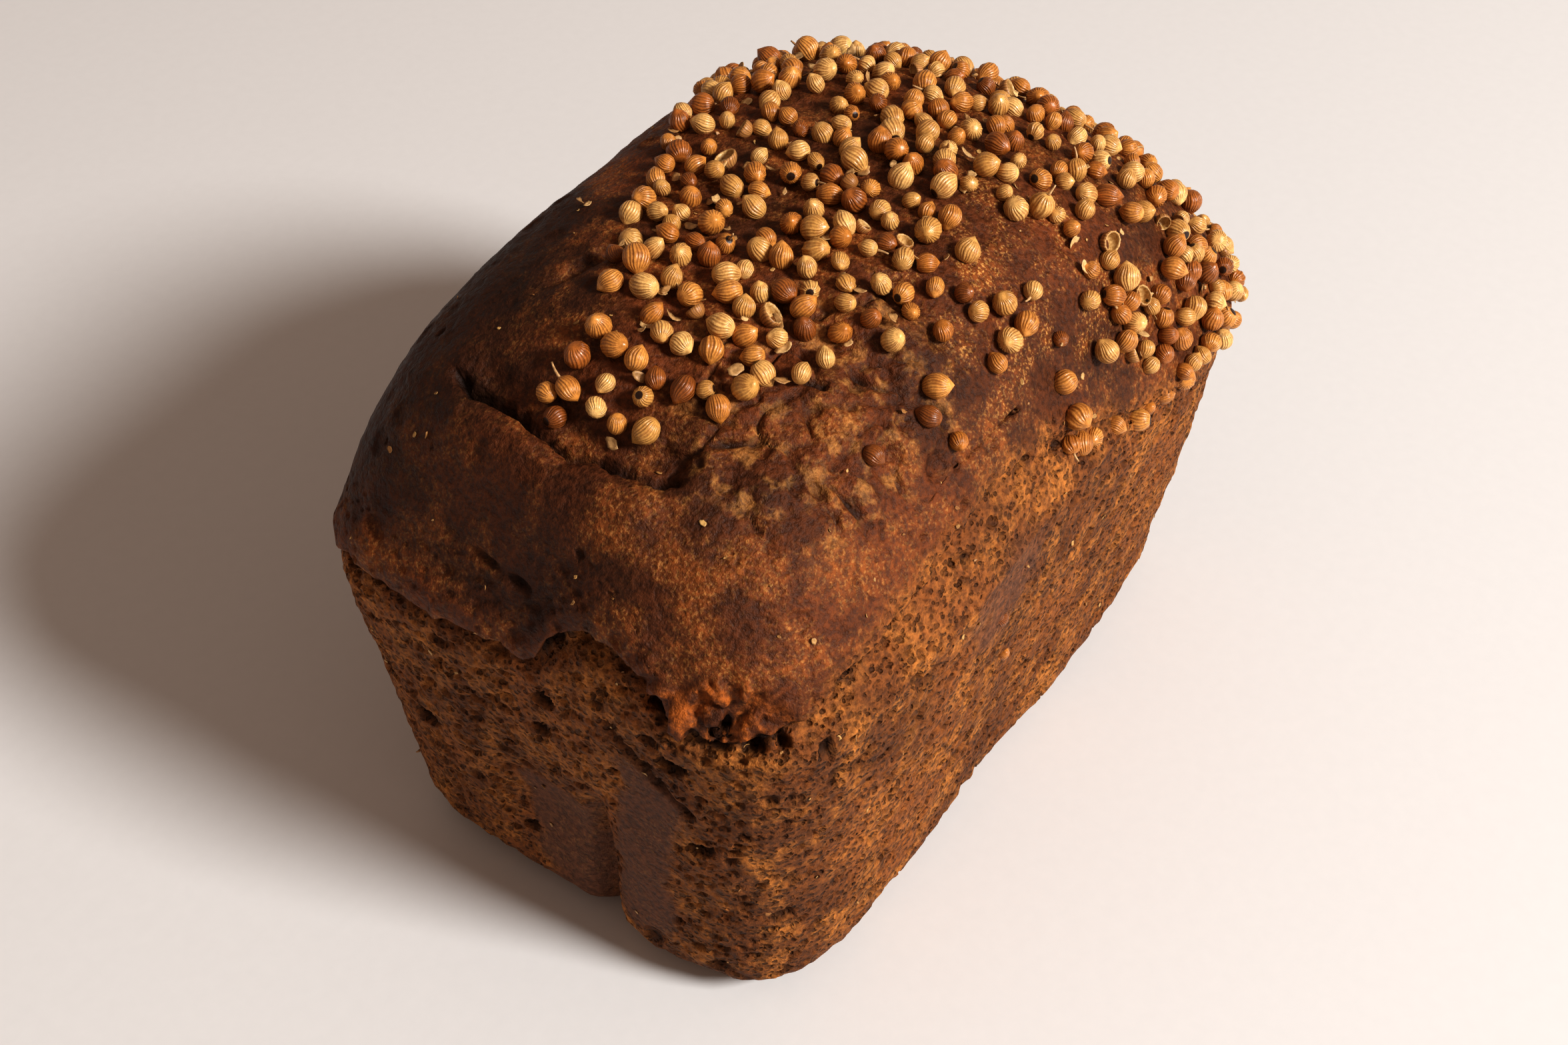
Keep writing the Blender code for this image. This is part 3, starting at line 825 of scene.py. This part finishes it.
def scatter_seeds(skin):
    """All the seeds, in one mesh for each kind, with their husks, stalks and flakes."""
    points, normals = skin
    high = points[:, 2] > SEEDS_ABOVE
    crown = (points[high], normals[high])
    share = seed_share(crown[0])
    heaps = {kind: Heap("seeds_" + kind) for kind in ("pale", "amber", "brown")}
    shells, stalks, flakes = Heap("seed_half_shells"), Heap("seed_stalks"), Heap("husk_flakes")
    forms = [seed_form(ridges, seed=number) for number, ridges in enumerate(SEED_RIDGES)]
    shrunken = seed_form(SHRUNKEN_RIDGES, depth=0.16, seed=9)

    sites, taken = [], []
    for along in np.arange(*SHOULDER_ROW):
        way = square_way(np.array([along]), np.array([-WIDTH / 2]))
        wanted = np.array([along, -WIDTH / 2, lip_height(way)[0] - 2.0 * MM])
        wanted += RANDOM.uniform(-1.2, 1.2, 3) * MM
        index = np.linalg.norm(points - wanted, axis=1).argmin()
        radius = RANDOM.uniform(*SEED_RADIUS)
        sites.append((points[index], normals[index], radius, "amber", RANDOM.uniform(0.45, 0.6)))
        taken.append((points[index], radius))
    for middle, reach, count, least, most in SEED_GROUPS:
        group = patch(points, middle, reach)
        for place, normal, radius in choose_sites(skin, group, count, 0.95, taken, 4000):
            kind = RANDOM.choice(["pale", "amber", "brown"], p=[0.2, 0.45, 0.35])
            sites.append((place, normal, radius, kind, RANDOM.uniform(least, most)))
            taken.append((place, radius))
    for place, normal, radius in choose_sites(crown, share, SEED_COUNT, 0.93, taken):
        kind = RANDOM.choice(["pale", "amber", "brown"], p=[0.46, 0.41, 0.13])
        sites.append((place, normal, radius, kind, RANDOM.uniform(0.02, 0.30)))
        taken.append((place, radius))

    for place, normal, radius, kind, sunk in sites:
        choice = RANDOM.integers(len(SEED_RIDGES))
        form, faces, turns, *_ = forms[choice]
        count = SEED_RIDGES[choice]
        if RANDOM.random() < SHRUNKEN_SHARE:
            form, faces, turns, *_ = shrunken
            count = SHRUNKEN_RIDGES
        tip = RANDOM.normal(size=3) + 0.25 * normal
        turned = facing(tip)
        scale = radius * np.array([1.0, RANDOM.uniform(0.90, 1.0), RANDOM.uniform(0.96, 1.16)])
        centre = place + normal * radius * (1.0 - 2.0 * sunk)
        made = (form * scale) @ turned.T + centre
        holed = float(RANDOM.random() < PAINTED_HOLE_SHARE)
        heaps[kind].add(
            made, faces, east=np.cos(turns), north=np.sin(turns), count=count,
            height=form[:, 2], tone=RANDOM.random(), holed=holed)
        if RANDOM.random() < STALK_SHARE:
            side = np.cross(turned[:, 2], normal)
            reach = RANDOM.uniform(1.2, 2.6) * MM
            curl = RANDOM.uniform(-0.8, 0.8) * MM
            path = []
            for step in np.linspace(0.0, 1.0, 6):
                out = turned[:, 2] * (-(0.93 * scale[2]) - step * reach)
                path.append(centre + out + side * curl * step * step)
            stalk, stalk_faces = tube(path, 0.24 * MM)
            stalks.add(stalk, stalk_faces, tone=RANDOM.random())

    shell_form = half_shell_form(11)
    for place, normal, radius in choose_sites(crown, share ** 0.7, 24, 0.85, taken):
        opening = normal + 0.55 * RANDOM.normal(size=3)
        turned = facing(opening)
        form, faces, turns, hollow = shell_form
        scale = radius * np.array([1.0, 0.86, 1.0])
        made = (form * scale) @ turned.T + place + normal * radius * 0.62
        shells.add(
            made, faces, east=np.cos(turns), north=np.sin(turns), count=11,
            hollow=hollow, tone=RANDOM.random())
        taken.append((place, radius * 0.8))

    husk_share = np.clip(share, 0.0, 1.0) + 1.5 * patch(crown[0], (27, -37, 88), (8, 11, 12), 0.2, 53)
    husk_share = husk_share + 0.8 * patch(crown[0], (-19, 23, 104), (9, 6, 8), 0.2, 53)
    chosen = RANDOM.choice(len(crown[0]), size=190, p=husk_share / husk_share.sum())
    for index in chosen:
        length = RANDOM.uniform(1.2, 3.0) * MM
        form, faces = flake_form(length, length * RANDOM.uniform(0.4, 0.8))
        turned = facing(crown[1][index] + 0.45 * RANDOM.normal(size=3))
        made = form @ turned.T + crown[0][index] + crown[1][index] * RANDOM.uniform(0.2, 1.3) * MM
        flakes.add(made, faces, tone=RANDOM.random())
    bran = Heap("bran_flecks")
    for index in RANDOM.choice(len(points), size=260):
        place, normal = points[index], normals[index]
        if place[2] < 5.0 * MM:
            continue
        length = RANDOM.uniform(0.45, 1.3) * MM
        form, faces = flake_form(length, length * RANDOM.uniform(0.4, 0.8))
        turned = facing(normal + 0.35 * RANDOM.normal(size=3))
        bran.add(form @ turned.T + place + normal * 0.12 * MM, faces, tone=RANDOM.random())
    return heaps, shells, stalks, flakes, bran


# ---- Materials ----

class Nodes:
    """Short calls for building a material's nodes."""

    def __init__(self, name):
        self.material = bpy.data.materials.new(name)
        self.material.use_nodes = True
        self.tree = self.material.node_tree
        self.shader = self.tree.nodes["Principled BSDF"]
        place = self.tree.nodes.new("ShaderNodeTexCoord")
        self.place = place.outputs["Object"]

    def link(self, source, target):
        if isinstance(source, (int, float)):
            target.default_value = source
        elif isinstance(source, tuple):
            target.default_value = (*source, 1.0)
        else:
            self.tree.links.new(source, target)

    def mark(self, name):
        node = self.tree.nodes.new("ShaderNodeAttribute")
        node.attribute_name = name
        return node.outputs["Fac"]

    def noise(self, scale, detail=3.0, rough=0.55):
        node = self.tree.nodes.new("ShaderNodeTexNoise")
        node.inputs["Scale"].default_value = scale
        node.inputs["Detail"].default_value = detail
        node.inputs["Roughness"].default_value = rough
        self.link(self.place, node.inputs["Vector"])
        return node.outputs["Fac"]

    def warp(self, scale, reach):
        """Places shifted at random, so that what is drawn there gets an uneven outline."""
        node = self.tree.nodes.new("ShaderNodeTexNoise")
        node.inputs["Scale"].default_value = scale
        node.inputs["Detail"].default_value = 2.0
        self.link(self.place, node.inputs["Vector"])
        shift = self.tree.nodes.new("ShaderNodeVectorMath")
        shift.operation = "MULTIPLY_ADD"
        self.tree.links.new(node.outputs["Color"], shift.inputs[0])
        shift.inputs[1].default_value = (reach, reach, reach)
        self.tree.links.new(self.place, shift.inputs[2])
        return shift.outputs[0]

    def holes(self, scale, least, most, warped, stretch=1.0):
        """1 inside pits, one in most cells, 0 between them."""
        squeeze = self.tree.nodes.new("ShaderNodeVectorMath")
        squeeze.operation = "MULTIPLY"
        self.link(warped, squeeze.inputs[0])
        squeeze.inputs[1].default_value = (1.0, 1.0, stretch)
        node = self.tree.nodes.new("ShaderNodeTexVoronoi")
        node.inputs["Scale"].default_value = scale
        self.link(squeeze.outputs[0], node.inputs["Vector"])
        return self.step(node.outputs["Distance"], least, most, 1.0, 0.0)

    def step(self, value, start, end, low=0.0, high=1.0):
        node = self.tree.nodes.new("ShaderNodeMapRange")
        node.interpolation_type = "SMOOTHSTEP"
        self.link(value, node.inputs["Value"])
        for key, number in (("From Min", start), ("From Max", end), ("To Min", low), ("To Max", high)):
            node.inputs[key].default_value = number
        return node.outputs["Result"]

    def math(self, kind, first, second=0.0):
        node = self.tree.nodes.new("ShaderNodeMath")
        node.operation = kind
        self.link(first, node.inputs[0])
        self.link(second, node.inputs[1])
        return node.outputs[0]

    def mix(self, share, first, second, kind="MIX"):
        node = self.tree.nodes.new("ShaderNodeMix")
        node.data_type = "RGBA"
        node.blend_type = kind
        self.link(share, node.inputs[0])
        self.link(first, node.inputs[6])
        self.link(second, node.inputs[7])
        return node.outputs[2]

    def bump(self, height, distance, strength=1.0, before=None):
        node = self.tree.nodes.new("ShaderNodeBump")
        node.inputs["Distance"].default_value = distance
        node.inputs["Strength"].default_value = strength
        self.link(height, node.inputs["Height"])
        if before is not None:
            self.link(before, node.inputs["Normal"])
        return node.outputs["Normal"]


def crust_material():
    nodes = Nodes("rye_crust")
    wall, smooth, pore = nodes.mark("wall"), nodes.mark("smooth"), nodes.mark("pore")
    torn, rough, bare = nodes.mark("torn"), nodes.mark("rough"), nodes.mark("bare")
    broad = nodes.noise(42.0, 3.0)
    middle = nodes.noise(260.0, 4.0, 0.6)
    fine = nodes.noise(1000.0, 4.0, 0.65)
    specks = nodes.noise(2100.0, 2.0, 0.5)
    patches = nodes.noise(130.0, 4.0, 0.6)

    crown = nodes.mix(nodes.step(broad, 0.35, 0.65), CROWN_DARK, CROWN_BROWN)
    crown = nodes.mix(nodes.step(patches, 0.45, 0.72), crown, CROWN_WARM)
    side = nodes.mix(nodes.step(broad, 0.35, 0.65), WALL_DARK, WALL_BROWN)
    side = nodes.mix(nodes.step(patches, 0.42, 0.70), side, WALL_WARM)
    # the smooth stretches take a grey that is partly their own colour and partly painted sheen
    side = nodes.mix(smooth, side, SMOOTH_GREY_AND_SHEEN)
    colour = nodes.mix(wall, crown, side)
    ochre = nodes.math("MULTIPLY", nodes.step(specks, 0.53, 0.62), nodes.step(patches, 0.42, 0.62))
    amount = nodes.math("ADD", nodes.math("MULTIPLY", bare, 0.5), 0.34)
    amount = nodes.math("MULTIPLY", amount, nodes.math("SUBTRACT", 1.0, nodes.math("MULTIPLY", wall, 0.55)))
    colour = nodes.mix(nodes.math("MULTIPLY", ochre, amount), colour, OCHRE)
    lit_tops = nodes.math("MULTIPLY", rough, nodes.step(middle, 0.5, 0.62))
    colour = nodes.mix(nodes.math("MULTIPLY", lit_tops, 0.35), colour, OCHRE)
    colour = nodes.mix(nodes.math("MULTIPLY", torn, nodes.step(middle, 0.40, 0.58)), colour, TORN_ORANGE)
    # painted shade darkens the crown's left side
    colour = nodes.mix(nodes.math("MULTIPLY", nodes.mark("painted_shade_left"), 0.72), colour, PAINTED_SHADE_LEFT)
    grain_tone = nodes.mix(nodes.step(fine, 0.32, 0.68), (0.55, 0.52, 0.50), (1.35, 1.35, 1.35))
    colour = nodes.mix(1.0, colour, grain_tone, "MULTIPLY")

    warped = nodes.warp(700.0, 0.9 * MM)
    sponge = nodes.math("MAXIMUM", nodes.holes(880.0, 0.14, 0.46, warped, 1.25), 0.0)
    larger = nodes.math(
        "MULTIPLY", nodes.holes(430.0, 0.16, 0.36, warped, 1.35), nodes.step(patches, 0.40, 0.55))
    holes = nodes.math("MAXIMUM", sponge, larger)
    closed = nodes.math("SUBTRACT", 1.0, nodes.math("MULTIPLY", smooth, 0.85))
    on_wall = nodes.math("MULTIPLY", nodes.math("ADD", nodes.math("MULTIPLY", wall, 0.86), 0.14), closed)
    holes = nodes.math("MULTIPLY", holes, on_wall)
    # painted shade inside the small pores, which are only bumps
    colour = nodes.mix(nodes.math("MULTIPLY", holes, 0.52), colour, PORE_SHADE)
    # painted shade in the pores and cracks, by their depth
    colour = nodes.mix(nodes.math("MULTIPLY", pore, 0.9), colour, PORE_SHADE)
    nodes.link(colour, nodes.shader.inputs["Base Color"])

    gloss = nodes.step(fine, 0.3, 0.7, 0.44, 0.66)
    nodes.link(nodes.math("ADD", gloss, nodes.math("MULTIPLY", wall, 0.15)), nodes.shader.inputs["Roughness"])
    nodes.shader.inputs["Specular IOR Level"].default_value = 0.24

    leather = nodes.math("ADD", nodes.math("MULTIPLY", middle, 0.6), fine)
    first = nodes.bump(leather, 0.55 * MM, 0.9)
    second = nodes.bump(nodes.math("SUBTRACT", 1.0, holes), 0.45 * MM, 0.9, first)
    nodes.link(second, nodes.shader.inputs["Normal"])
    return nodes.material


def seed_lines(nodes):
    """1 on the fine pale lines that run from tip to foot of a seed, 0 between them."""
    turn = nodes.math("ARCTAN2", nodes.mark("north"), nodes.mark("east"))
    turns = nodes.math("MULTIPLY", turn, nodes.mark("count"))
    broad = nodes.math("COSINE", turns)
    narrow = nodes.math("COSINE", nodes.math("MULTIPLY", turns, 2.0))
    both = nodes.math("ADD", nodes.math("MULTIPLY", broad, 0.35), nodes.math("MULTIPLY", narrow, 0.65))
    return nodes.step(both, -0.75, 0.55)


def seed_material(name, dark, light, groove):
    nodes = Nodes(name)
    tone, height = nodes.mark("tone"), nodes.mark("height")
    lines = seed_lines(nodes)
    blotch = nodes.noise(520.0, 3.0)
    fine = nodes.noise(2600.0, 3.0, 0.6)
    colour = nodes.mix(tone, dark, light)
    colour = nodes.mix(nodes.step(blotch, 0.48, 0.72, 0.0, 0.45), colour, groove)
    pole = nodes.step(nodes.math("ABSOLUTE", height), 0.75, 0.97)
    between = nodes.math("MULTIPLY", nodes.math("SUBTRACT", 1.0, lines), nodes.math("SUBTRACT", 1.0, pole))
    colour = nodes.mix(
        nodes.math("MULTIPLY", between, nodes.step(blotch, 0.3, 0.6, 0.25, 0.62)), colour, groove)
    # painted shade: a near-black spot at the foot stands for the shade inside the hole
    hole_shade = nodes.math("MULTIPLY", nodes.step(height, -0.93, -0.88, 1.0, 0.0), nodes.mark("holed"))
    colour = nodes.mix(hole_shade, colour, (0.03, 0.01, 0.004))
    speck = nodes.mix(nodes.step(fine, 0.3, 0.7), (0.82, 0.80, 0.76), (1.12, 1.12, 1.12))
    nodes.link(nodes.mix(1.0, colour, speck, "MULTIPLY"), nodes.shader.inputs["Base Color"])
    nodes.link(nodes.step(fine, 0.3, 0.7, 0.26, 0.44), nodes.shader.inputs["Roughness"])
    nodes.shader.inputs["Specular IOR Level"].default_value = 0.55
    first = nodes.bump(nodes.math("MULTIPLY", lines, nodes.math("SUBTRACT", 1.0, pole)), 0.09 * MM, 0.8)
    nodes.link(nodes.bump(fine, 0.05 * MM, 0.6, first), nodes.shader.inputs["Normal"])
    return nodes.material


def shell_material():
    nodes = Nodes("seed_shell")
    tone, hollow = nodes.mark("tone"), nodes.mark("hollow")
    lines = seed_lines(nodes)
    fine = nodes.noise(2200.0, 3.0, 0.6)
    outside = nodes.mix(tone, (0.36, 0.16, 0.04), (0.55, 0.29, 0.10))
    outside = nodes.mix(nodes.step(lines, 0.0, 0.7, 0.6, 0.0), outside, (0.16, 0.06, 0.02))
    inside = nodes.mix(nodes.step(fine, 0.35, 0.65), (0.50, 0.30, 0.10), (0.74, 0.52, 0.24))
    nodes.link(nodes.mix(hollow, outside, inside), nodes.shader.inputs["Base Color"])
    nodes.shader.inputs["Roughness"].default_value = 0.42
    nodes.link(nodes.bump(fine, 0.08 * MM, 0.6), nodes.shader.inputs["Normal"])
    return nodes.material


def husk_material(name, low, high):
    nodes = Nodes(name)
    tone = nodes.mark("tone")
    fine = nodes.noise(1800.0, 3.0, 0.6)
    colour = nodes.mix(tone, low, high)
    shade = nodes.mix(nodes.step(fine, 0.3, 0.7), (0.72, 0.68, 0.62), (1.15, 1.15, 1.15))
    nodes.link(nodes.mix(1.0, colour, shade, "MULTIPLY"), nodes.shader.inputs["Base Color"])
    nodes.shader.inputs["Roughness"].default_value = 0.5
    nodes.link(nodes.bump(fine, 0.06 * MM, 0.6), nodes.shader.inputs["Normal"])
    return nodes.material


def paper_material():
    nodes = Nodes("pale_paper")
    fine = nodes.noise(350.0, 3.0)
    nodes.link(
        nodes.mix(fine, (0.745, 0.750, 0.748), (0.775, 0.780, 0.778)),
        nodes.shader.inputs["Base Color"])
    nodes.shader.inputs["Roughness"].default_value = 0.75
    nodes.shader.inputs["Specular IOR Level"].default_value = 0.2
    return nodes.material


# ---- Setting ----

def add_floor():
    half = 3.0
    corners = np.array([(-half, -half, 0), (half, -half, 0), (half, half, 0), (-half, half, 0)])
    mesh = mesh_from("floor", corners - np.array([0.0, 0.0, 0.05 * MM]), np.array([[0, 1, 2, 3]]))
    mesh.materials.append(paper_material())
    floor = bpy.data.objects.new("floor", mesh)
    bpy.context.collection.objects.link(floor)


def toward(azimuth, elevation):
    """Unit vector from the loaf to something at this azimuth and elevation in degrees."""
    a, e = np.radians(azimuth), np.radians(elevation)
    return Vector((np.sin(a) * np.cos(e), -np.cos(a) * np.cos(e), np.sin(e)))


def add_light(name, azimuth, elevation, distance, size, power, colour):
    lamp = bpy.data.lights.new(name, "AREA")
    lamp.shape = "DISK"
    lamp.size = size
    lamp.energy = power
    lamp.color = colour
    light = bpy.data.objects.new(name, lamp)
    back = toward(azimuth, elevation)
    light.location = Vector(CAMERA_AIM) + back * distance
    light.rotation_mode = "QUATERNION"
    light.rotation_quaternion = (-back).to_track_quat("-Z", "Y")
    bpy.context.collection.objects.link(light)


def add_camera():
    lens = bpy.data.cameras.new("camera")
    lens.lens = CAMERA_LENS
    lens.sensor_width = 36.0
    lens.clip_start = 0.01
    camera = bpy.data.objects.new("camera", lens)
    back = toward(CAMERA_AZIMUTH, CAMERA_ELEVATION)
    a, roll = np.radians(CAMERA_AZIMUTH), np.radians(CAMERA_ROLL)
    level = Vector((np.cos(a), np.sin(a), 0.0))
    raised = back.cross(level)
    right = level * np.cos(roll) + raised * np.sin(roll)
    up = back.cross(right)
    turned = np.column_stack([right, up, back])
    camera.rotation_mode = "QUATERNION"
    camera.rotation_quaternion = Matrix(turned.tolist()).to_quaternion()
    camera.location = Vector(CAMERA_AIM) + back * CAMERA_DISTANCE
    bpy.context.collection.objects.link(camera)
    bpy.context.scene.camera = camera


def light_scene():
    add_light("key", 6.0, 36.5, 2.0, 0.52, KEY_POWER, (1.0, 0.99, 0.98))
    world = bpy.data.worlds.new("room")
    world.use_nodes = True
    room = world.node_tree.nodes["Background"]
    room.inputs["Color"].default_value = (1.0, 0.75, 0.61, 1.0)
    room.inputs["Strength"].default_value = ROOM_STRENGTH
    bpy.context.scene.world = world
    view = bpy.context.scene.view_settings
    view.view_transform = "Standard"
    view.gamma = CONTRAST


def main():
    loaf, skin = make_loaf()
    loaf.data.materials.clear()
    loaf.data.materials.append(crust_material())
    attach(loaf, "root")
    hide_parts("loaf")
    heaps, shells, stalks, flakes, bran = scatter_seeds(skin)
    for kind, (dark, light, groove) in SEED_COLOURS.items():
        heaps[kind].build(seed_material("seed_" + kind, dark, light, groove))
    shells.build(shell_material())
    stalks.build(husk_material("seed_stalk", (0.45, 0.25, 0.10), (0.66, 0.46, 0.24)))
    flakes.build(husk_material("husk_flake", (0.40, 0.22, 0.08), (0.72, 0.50, 0.24)))
    bran.build(husk_material("bran_fleck", (0.30, 0.13, 0.035), (0.62, 0.40, 0.15)))
    add_floor()
    light_scene()
    add_camera()


main()
